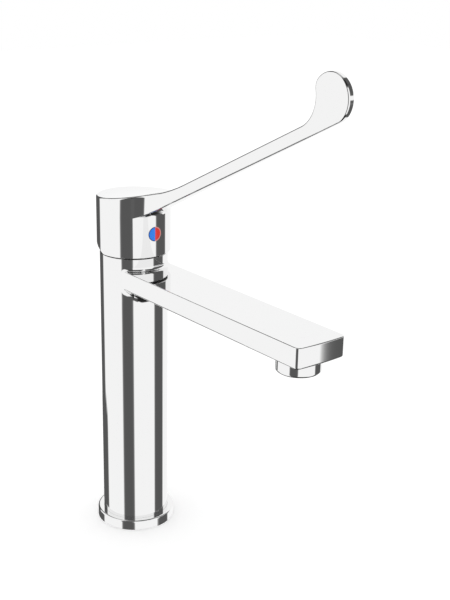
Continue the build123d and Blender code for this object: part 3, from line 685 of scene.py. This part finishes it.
def make_lever():
    skin = Skin()
    slope = tan(ARM_ANGLE)
    underside = Vector((sin(ARM_ANGLE), 0, -cos(ARM_ANGLE)))
    upper_root = ARM_ROOT + ARM_THICKNESS / cos(ARM_ANGLE)
    sweep_rise = CAP_TOP - upper_root - slope * SWEEP_START
    sweep_radius = sweep_rise / (slope * sin(ARM_ANGLE) - (1 - cos(ARM_ANGLE)))
    sweep_end = SWEEP_START + sweep_radius * sin(ARM_ANGLE)
    paddle = along_arm(ARM_REACH, PADDLE_RADIUS)
    taper_end = paddle[0] - PADDLE_RADIUS / 2
    taper = (ARM_ROOT_HALF_WIDTH - PADDLE_HALF_WIDTH) / taper_end

    # Flare between the cap and the blade, in plan
    reach = CAP_RADIUS + FLARE_RADIUS
    tilt = atan(taper)
    offset = ARM_ROOT_HALF_WIDTH * cos(tilt) + FLARE_RADIUS
    flare_turn = asin(offset / reach) - tilt
    flare = (reach * cos(flare_turn), reach * sin(flare_turn))
    start_turn = atan2(flare[1], flare[0])
    blade_x = flare[0] - FLARE_RADIUS * sin(tilt)

    def top_at(x):
        """Height of the upper surface and its normal."""
        if x <= SWEEP_START:
            return CAP_TOP, 0.0, 1.0
        if x < sweep_end:
            turn = asin((x - SWEEP_START) / sweep_radius)
            return CAP_TOP + sweep_radius * (1 - cos(turn)), -sin(turn), cos(turn)
        return upper_root + slope * x, -sin(ARM_ANGLE), cos(ARM_ANGLE)

    def half_width(x):
        if x < taper_end:
            return ARM_ROOT_HALF_WIDTH - taper * x
        return PADDLE_HALF_WIDTH

    def side_normal(x):
        share = min(1, max(0, (taper_end + TAPER_BLEND / 2 - x) / TAPER_BLEND))
        return Vector((sin(tilt * share), cos(tilt * share), 0))

    def edge_radius(x):
        """Radius of the long edges, which changes from the cap to the blade and to the paddle."""
        on_blade = min(1, max(0, x / blade_x))
        on_paddle = min(1, max(0, (x - taper_end) / PADDLE_RADIUS + 1))
        return blend(CAP_EDGE, BLADE_EDGE, on_blade) + (PADDLE_EDGE - BLADE_EDGE) * on_paddle

    def root_radius(turn):
        """Radius of the hollow at a bearing of the cap, limited by the room under the flare."""
        ahead = start_turn - abs(turn)
        across = reach * sin(ahead)
        if across >= FLARE_RADIUS:
            return ROOT_RADIUS
        room = reach * cos(ahead) - sqrt(FLARE_RADIUS**2 - across**2) - CAP_RADIUS
        return min(ROOT_RADIUS, ROOM_SHARE * room)

    # Plan samples from the back of the cap to the blade: place and normal
    corner_turn = acos(RELIEF_START / CAP_RADIUS)
    cap_turns = sorted(spread(pi, start_turn, CAP_STEPS) + [corner_turn], reverse=True)
    held = start_turn + TANGENT_HOLD
    plan = []
    for turn in cap_turns:
        facing = max(turn, held)
        plan.append((CAP_RADIUS * cos(turn), CAP_RADIUS * sin(turn), cos(facing), sin(facing)))
    last_cap = len(plan) - 1
    for turn in spread(start_turn + pi, 1.5 * pi - tilt, FLARE_STEPS)[1:]:
        facing = max(turn - pi, held)
        x = flare[0] + FLARE_RADIUS * cos(turn)
        y = flare[1] + FLARE_RADIUS * sin(turn)
        plan.append((x, y, cos(facing), sin(facing)))

    # Side view of the blade and paddle, from the top round to the underside: place and normal
    neck = along_arm(ARM_REACH - NECK_SETBACK, ARM_THICKNESS + NECK_RADIUS)
    neck_foot = along_arm(ARM_REACH - NECK_SETBACK, ARM_THICKNESS)
    span = hypot(paddle[0] - neck[0], paddle[1] - neck[1])
    near = NECK_RADIUS + SHOULDER_RADIUS
    off = PADDLE_RADIUS - SHOULDER_RADIUS
    opening = acos((near**2 + span**2 - off**2) / (2 * near * span))
    shoulder_turn = turn_of(neck, paddle) + opening
    shoulder = (neck[0] + near * cos(shoulder_turn), neck[1] + near * sin(shoulder_turn))
    tops = spread(blade_x, sweep_end, SWEEP_STEPS)[1:]
    tops += spread(sweep_end, neck_foot[0], ARM_TOP_STEPS)[1:-1]
    profile = [(x, *top_at(x)) for x in tops]
    first, last = turn_of(neck, neck_foot), turn_of(neck, shoulder)
    profile += arc_samples(neck, NECK_RADIUS, first, last, NECK_STEPS, -1)
    first, last = turn_of(shoulder, neck), turn_of(paddle, shoulder) - 2 * pi
    profile += arc_samples(shoulder, SHOULDER_RADIUS, first, last, SHOULDER_STEPS)[1:]
    first, last = turn_of(paddle, shoulder), ARM_ANGLE - pi / 2
    profile += arc_samples(paddle, PADDLE_RADIUS, first, last, PADDLE_STEPS)[1:]
    for x in spread(along_arm(ARM_REACH, 0)[0], blade_x, ARM_UNDER_STEPS)[1:]:
        profile.append((x, under_at(x), sin(ARM_ANGLE), -cos(ARM_ANGLE)))

    # Edge of one side, from the back of the cap round the paddle to the root: place, normal of the
    # side, normal of the face that it meets, and radius
    edge = []
    for x, y, nx, ny in plan:
        z, px, pz = top_at(x)
        edge.append((Vector((x, y, z)), Vector((nx, ny, 0)), Vector((px, 0, pz)), edge_radius(x)))
    first_blade = len(edge) - 1
    for x, z, px, pz in profile:
        place = Vector((x, half_width(x), z))
        edge.append((place, side_normal(x), Vector((px, 0, pz)), edge_radius(x)))
    last_blade = len(edge) - 1
    for x, y, nx, ny in reversed(plan[last_cap:-1]):
        room = hypot(x, y) - CAP_RADIUS
        radius = min(edge_radius(x), EDGE_SHARE * max(0, room) ** 2)
        edge.append((Vector((x, y, under_at(x))), Vector((nx, ny, 0)), underside, radius))
    rounds = []
    round_normals = []
    for place, side, flat, radius in edge:
        center = place - (side + flat) * radius / (1 + side.dot(flat))
        line = [slerp(side, flat, t) for t in spread(0, 1, ROUND_STEPS)]
        rounds.append([center + n * radius for n in line])
        round_normals.append(line)
    for turned in (list, mirrored):
        skin.grid([turned(row) for row in rounds], [turned(row) for row in round_normals])

    # Upper surface, paddle rim and underside, from side to side
    breadth = spread(-1, 1, BREADTH_STEPS)
    across = []
    across_normals = []
    for (_, _, flat, _), row in list(zip(edge, rounds))[: last_blade + 1]:
        end = row[-1]
        across.append([Vector((end.x, end.y * t, end.z)) for t in breadth])
        across_normals.append([flat] * len(breadth))
    skin.grid(across, across_normals)

    # Hollow under the arm's root
    front_turns = spread(start_turn, -start_turn, FRONT_STEPS)
    hollow = []
    hollow_normals = []
    for turn in front_turns:
        radius = root_radius(turn)
        x = (CAP_RADIUS + radius) * cos(turn)
        y = (CAP_RADIUS + radius) * sin(turn)
        center = Vector((x, y, under_at(x) - radius / cos(ARM_ANGLE)))
        outward = Vector((cos(turn), sin(turn), 0))
        line = [slerp(outward, underside, t) for t in spread(0, 1, ROOT_STEPS)]
        hollow.append([center - n * radius for n in line])
        hollow_normals.append(line)
    for k in range(1, len(hollow) - 1):
        for j in range(1, ROOT_STEPS):
            along = hollow[k][j + 1] - hollow[k][j - 1]
            around = hollow[k + 1][j] - hollow[k - 1][j]
            hollow_normals[k][j] = square_to(along, around, hollow_normals[k][j])
    skin.grid(hollow, hollow_normals)

    # Underside from the hollow to the blade
    tail = rounds[last_blade:-1]
    loop = [tuple(row[-1]) for row in tail]
    loop += [tuple(row[-1]) for row in hollow]
    loop += [(row[-1].x, -row[-1].y, row[-1].z) for row in reversed(tail)]
    loop += [tuple(p) for p in across[-1][1:-1]]
    skin.patch(
        [in_plan(loop)],
        lambda p: (p[0], p[1], under_at(p[0])),
        lambda p: underside,
        UNDER_STEP,
    )

    # Sides of the cap and of the flare, and the cap's wall below the arm
    tangent_z = under_at(plan[last_cap][0])
    head_shares = spread(0, 1, FLARE_WALL_STEPS)
    walls = []
    wall_normals = []
    for k, turn in enumerate(cap_turns):
        foot = rim_edge(turn)[0][0]
        head = rounds[k][0]
        column = [Vector((foot.x, foot.y, z)) for z in spread(foot.z, tangent_z, CAP_WALL_STEPS)]
        column += [blend(column[-1], head, t) for t in head_shares[1:]]
        walls.append(column)
        wall_normals.append([Vector((plan[k][2], plan[k][3], 0))] * len(column))
    flare_walls = []
    flare_normals = []
    for k in range(last_cap, len(plan)):
        low = rounds[last_blade + (len(plan) - 1 - k)][0]
        high = rounds[k][0]
        flare_walls.append([blend(low, high, t) for t in head_shares])
        flare_normals.append([Vector((plan[k][2], plan[k][3], 0))] * len(head_shares))
    for turned in (list, mirrored):
        skin.grid([turned(row) for row in walls], [turned(row) for row in wall_normals])
        skin.grid([turned(row) for row in flare_walls], [turned(row) for row in flare_normals])
    front_walls = []
    front_normals = []
    for turn, row in zip(front_turns, hollow):
        foot = rim_edge(turn)[0][0]
        heights = spread(foot.z, row[0].z, CAP_WALL_STEPS)
        front_walls.append([Vector((foot.x, foot.y, z)) for z in heights])
        front_normals.append([Vector((cos(turn), sin(turn), 0))] * len(heights))
    skin.grid(front_walls, front_normals)

    # Rim, cavity and its roof
    ring_rows = []
    ring_normals = []
    face_rows = []
    face_normals = []
    cavity_rows = []
    cavity_normals = []
    for turn in cap_turns + front_turns[1:-1] + [-a for a in reversed(cap_turns)]:
        row, normals, down = rim_edge(turn)
        ring_rows.append(row)
        ring_normals.append(normals)
        x = CAVITY_RADIUS * cos(turn)
        z = CAP_RIM + max(0, RELIEF_START - x) * tan(RELIEF_ANGLE)
        inner = Vector((x, CAVITY_RADIUS * sin(turn), z))
        face_rows.append([row[-1], inner])
        face_normals.append([down, down])
        cavity_rows.append([inner, Vector((inner.x, inner.y, CAVITY_ROOF))])
        cavity_normals.append([Vector((-cos(turn), -sin(turn), 0))] * 2)
    skin.grid(ring_rows, ring_normals)
    skin.grid(face_rows, face_normals)
    skin.grid(cavity_rows, cavity_normals)
    skin.level_patch([[tuple(row[1]) for row in cavity_rows[:-1]]], CAVITY_ROOF, -1)

    # Flat sides of the blade and paddle, filled in the side view
    side_loop = [tuple(row[0]) for row in rounds[first_blade : last_blade + 1]]
    side_loop += [tuple(p) for p in flare_walls[-1][1:-1]]
    for sign in (1, -1):
        skin.patch(
            [[((p[0], p[2]), (p[0], sign * p[1], p[2])) for p in side_loop]],
            lambda s: (s[0], sign * half_width(s[0]), s[1]),
            lambda p: (side_normal(p[0]).x, sign * side_normal(p[0]).y, 0),
            BLADE_STEP,
        )
    return skin


# Aerator sleeve: sizes in millimetres
SLEEVE_RADIUS = 14.8
SLEEVE_EDGE = 1.9
SLEEVE_BOTTOM = 182.4
SLEEVE_LIP_TOP = 184.7
SLEEVE_LIP_RADIUS = 9.6
SLEEVE_BORE = 10.6
SLEEVE_THREAD_RADIUS = 12.0
SLEEVE_TOP = 200.0


def make_sleeve():
    skin = Skin()
    turns = spread(-pi, pi, TURN_STEPS)
    shell = [(SLEEVE_RADIUS, SPOUT_BOTTOM, 1, 0)]
    for a in spread(0, pi / 2, ROUND_STEPS):
        radius = SLEEVE_RADIUS - SLEEVE_EDGE * (1 - cos(a))
        shell.append((radius, SLEEVE_BOTTOM + SLEEVE_EDGE * (1 - sin(a)), cos(a), -sin(a)))
    shell.append((SLEEVE_LIP_RADIUS, SLEEVE_BOTTOM, 0, -1))
    skin.lathe(shell, turns, AERATOR_X)
    skin.lathe_line(
        [
            (SLEEVE_LIP_RADIUS, SLEEVE_BOTTOM),
            (SLEEVE_LIP_RADIUS, SLEEVE_LIP_TOP),
            (SLEEVE_BORE, SLEEVE_LIP_TOP),
            (SLEEVE_BORE, SLEEVE_TOP),
            (SLEEVE_THREAD_RADIUS, SLEEVE_TOP),
            (SLEEVE_THREAD_RADIUS, SPOUT_BOTTOM),
            (SLEEVE_RADIUS, SPOUT_BOTTOM),
        ],
        [(-1, 0), (0, 1), (-1, 0), (0, 1), (1, 0), (0, 1)],
        turns,
        AERATOR_X,
    )
    return skin


make_body().build("body_skin", "chrome", "fixed", "body")
make_sleeve().build("aerator_skin", "chrome", "fixed", "aerator_housing")
make_lever().build("lever_skin", "chrome", "handle", "lever")

# Floor: sizes in metres. The lift is a little light of its own that only the camera sees
FLOOR_SIZE = 6.0
FLOOR_DROP = 0.0002
FLOOR_TONE = 0.93
FLOOR_ROUGHNESS = 0.8
FLOOR_LIFT = 0.19


def add_floor():
    half = FLOOR_SIZE / 2
    corners = [(-half, -half, 0), (half, -half, 0), (half, half, 0), (-half, half, 0)]
    mesh = bpy.data.meshes.new("floor")
    mesh.from_pydata(corners, [], [(0, 1, 2, 3)])
    floor = bpy.data.objects.new("floor", mesh)
    floor.location = (0, 0, -FLOOR_DROP)
    scene.collection.objects.link(floor)
    material, tree, shader = new_material("floor")
    shader.inputs["Base Color"].default_value = (FLOOR_TONE, FLOOR_TONE, FLOOR_TONE, 1)
    shader.inputs["Roughness"].default_value = FLOOR_ROUGHNESS
    shader.inputs["Specular IOR Level"].default_value = 0.0
    shader.inputs["Emission Color"].default_value = (1, 1, 1, 1)
    light_path = tree.nodes.new("ShaderNodeLightPath")
    lift = add_ramp(tree, light_path.outputs["Is Camera Ray"], 0.0, FLOOR_LIFT)
    tree.links.new(lift, shader.inputs["Emission Strength"])
    mesh.materials.append(material)
    floor.visible_glossy = False


add_floor()

# Studio dome, which only reflections show: white, with three dark upright panels and dark poles.
# Sizes are in metres. Bearings, heights, blurs and fades are in degrees, seen from its middle.
DOME_RADIUS = 1.2
DOME_MIDDLE = 0.12
DOME_STEP = 1.0
# Bearing and half width of each panel
PANELS = ((58.0, 21.9), (-56.8, 20.5), (180.0, 22.0))
PANEL_FADE = 1.4
PANEL_TONE = 0.1
# The first panel is wider above the horizon and has a light gap there
GAP_PANEL = 0
HIGH_PANEL_WIDER = 3.5
GAP_HEIGHT = 11.8
GAP_HALF = 6.0
GAP_BLUR = 1.5
# The panel behind is wider over a band below the horizon
BACK_PANEL = 2
LOW_BACK_WIDER = 13.0
LOW_BACK_HEIGHT = -33.0
LOW_BACK_HALF = 8.0
# The poles begin at LOW_POLE_EDGE, but at POLE_EDGE within SIDE_REACH of the bearing -SIDE_MIDDLE
# and, above the horizon, of SIDE_MIDDLE too. From ZENITH_START up the top grows light again.
POLE_EDGE = 62.0
LOW_POLE_EDGE = 42.0
SIDE_MIDDLE = 100.0
SIDE_REACH = 42.0
SIDE_BLUR = 10.0
POLE_FADE = 2.0
POLE_TONE = 0.02
ZENITH_TONE = 0.85
ZENITH_START = 66.0


def soft_step(value, edge, blur):
    t = min(1.0, max(0.0, (value - edge) / (2 * blur) + 0.5))
    return t * t * (3 - 2 * t)


def turned_away(bearing, middle=0.0):
    """Angle between two bearings, without its sign."""
    return abs((bearing - middle + 180) % 360 - 180)


def dome_tone(bearing, height):
    light = 1.0
    for number, (middle, half) in enumerate(PANELS):
        opened = 0.0
        if number == GAP_PANEL:
            half += HIGH_PANEL_WIDER * soft_step(height, -GAP_BLUR, 2 * GAP_BLUR)
            opened = 1 - soft_step(abs(height - GAP_HEIGHT), GAP_HALF, GAP_BLUR)
        if number == BACK_PANEL:
            outside = soft_step(abs(height - LOW_BACK_HEIGHT), LOW_BACK_HALF, GAP_BLUR)
            half += LOW_BACK_WIDER * (1 - outside)
        depth = max(0.0, half - turned_away(bearing, middle))
        light *= opened + (1 - opened) * exp(-depth / PANEL_FADE)
    tone = PANEL_TONE + (1 - PANEL_TONE) * light
    if height > 0:
        from_side = abs(turned_away(bearing) - SIDE_MIDDLE)
    else:
        from_side = turned_away(bearing, -SIDE_MIDDLE)
    edge = blend(POLE_EDGE, LOW_POLE_EDGE, soft_step(from_side, SIDE_REACH, SIDE_BLUR))
    pole = 1 - exp(-max(0.0, abs(height) - edge) / POLE_FADE)
    above = max(0.0, height - ZENITH_START) / (90 - ZENITH_START)
    return blend(tone, blend(POLE_TONE, ZENITH_TONE, above), pole)


def add_dome():
    across = round(360 / DOME_STEP)
    upward = round(180 / DOME_STEP)
    points = []
    tones = []
    for j in range(upward + 1):
        height = -90 + 180 * j / upward
        level = DOME_RADIUS * cos(radians(height))
        z = DOME_RADIUS * sin(radians(height))
        for i in range(across):
            bearing = 360 * i / across
            points.append((level * cos(radians(bearing)), level * sin(radians(bearing)), z))
            tones.append(dome_tone(bearing, height))
    faces = []
    for j in range(upward):
        for i in range(across):
            low = j * across
            high = low + across
            after = (i + 1) % across
            faces.append((low + i, low + after, high + after, high + i))
    mesh = bpy.data.meshes.new("studio_dome")
    mesh.from_pydata(points, [], faces)
    shade = mesh.attributes.new("tone", "FLOAT", "POINT")
    shade.data.foreach_set("value", tones)
    material, tree, shader = new_material("studio_dome")
    shader.inputs["Base Color"].default_value = (0, 0, 0, 1)
    shader.inputs["Specular IOR Level"].default_value = 0.0
    shader.inputs["Emission Color"].default_value = (1, 1, 1, 1)
    reader = tree.nodes.new("ShaderNodeAttribute")
    reader.attribute_name = "tone"
    tree.links.new(reader.outputs["Fac"], shader.inputs["Emission Strength"])
    mesh.materials.append(material)
    dome = bpy.data.objects.new("studio_dome", mesh)
    dome.location = (0, 0, DOME_MIDDLE)
    scene.collection.objects.link(dome)
    dome.visible_camera = False
    dome.visible_diffuse = False
    dome.visible_transmission = False
    dome.visible_shadow = False


add_dome()

# World: plain white
world = bpy.data.worlds.new("studio")
scene.world = world
world.use_nodes = True
background = world.node_tree.nodes["Background"]
background.inputs["Color"].default_value = (1, 1, 1, 1)
background.inputs["Strength"].default_value = 1.0

add_camera()
scene.view_settings.view_transform = "Standard"
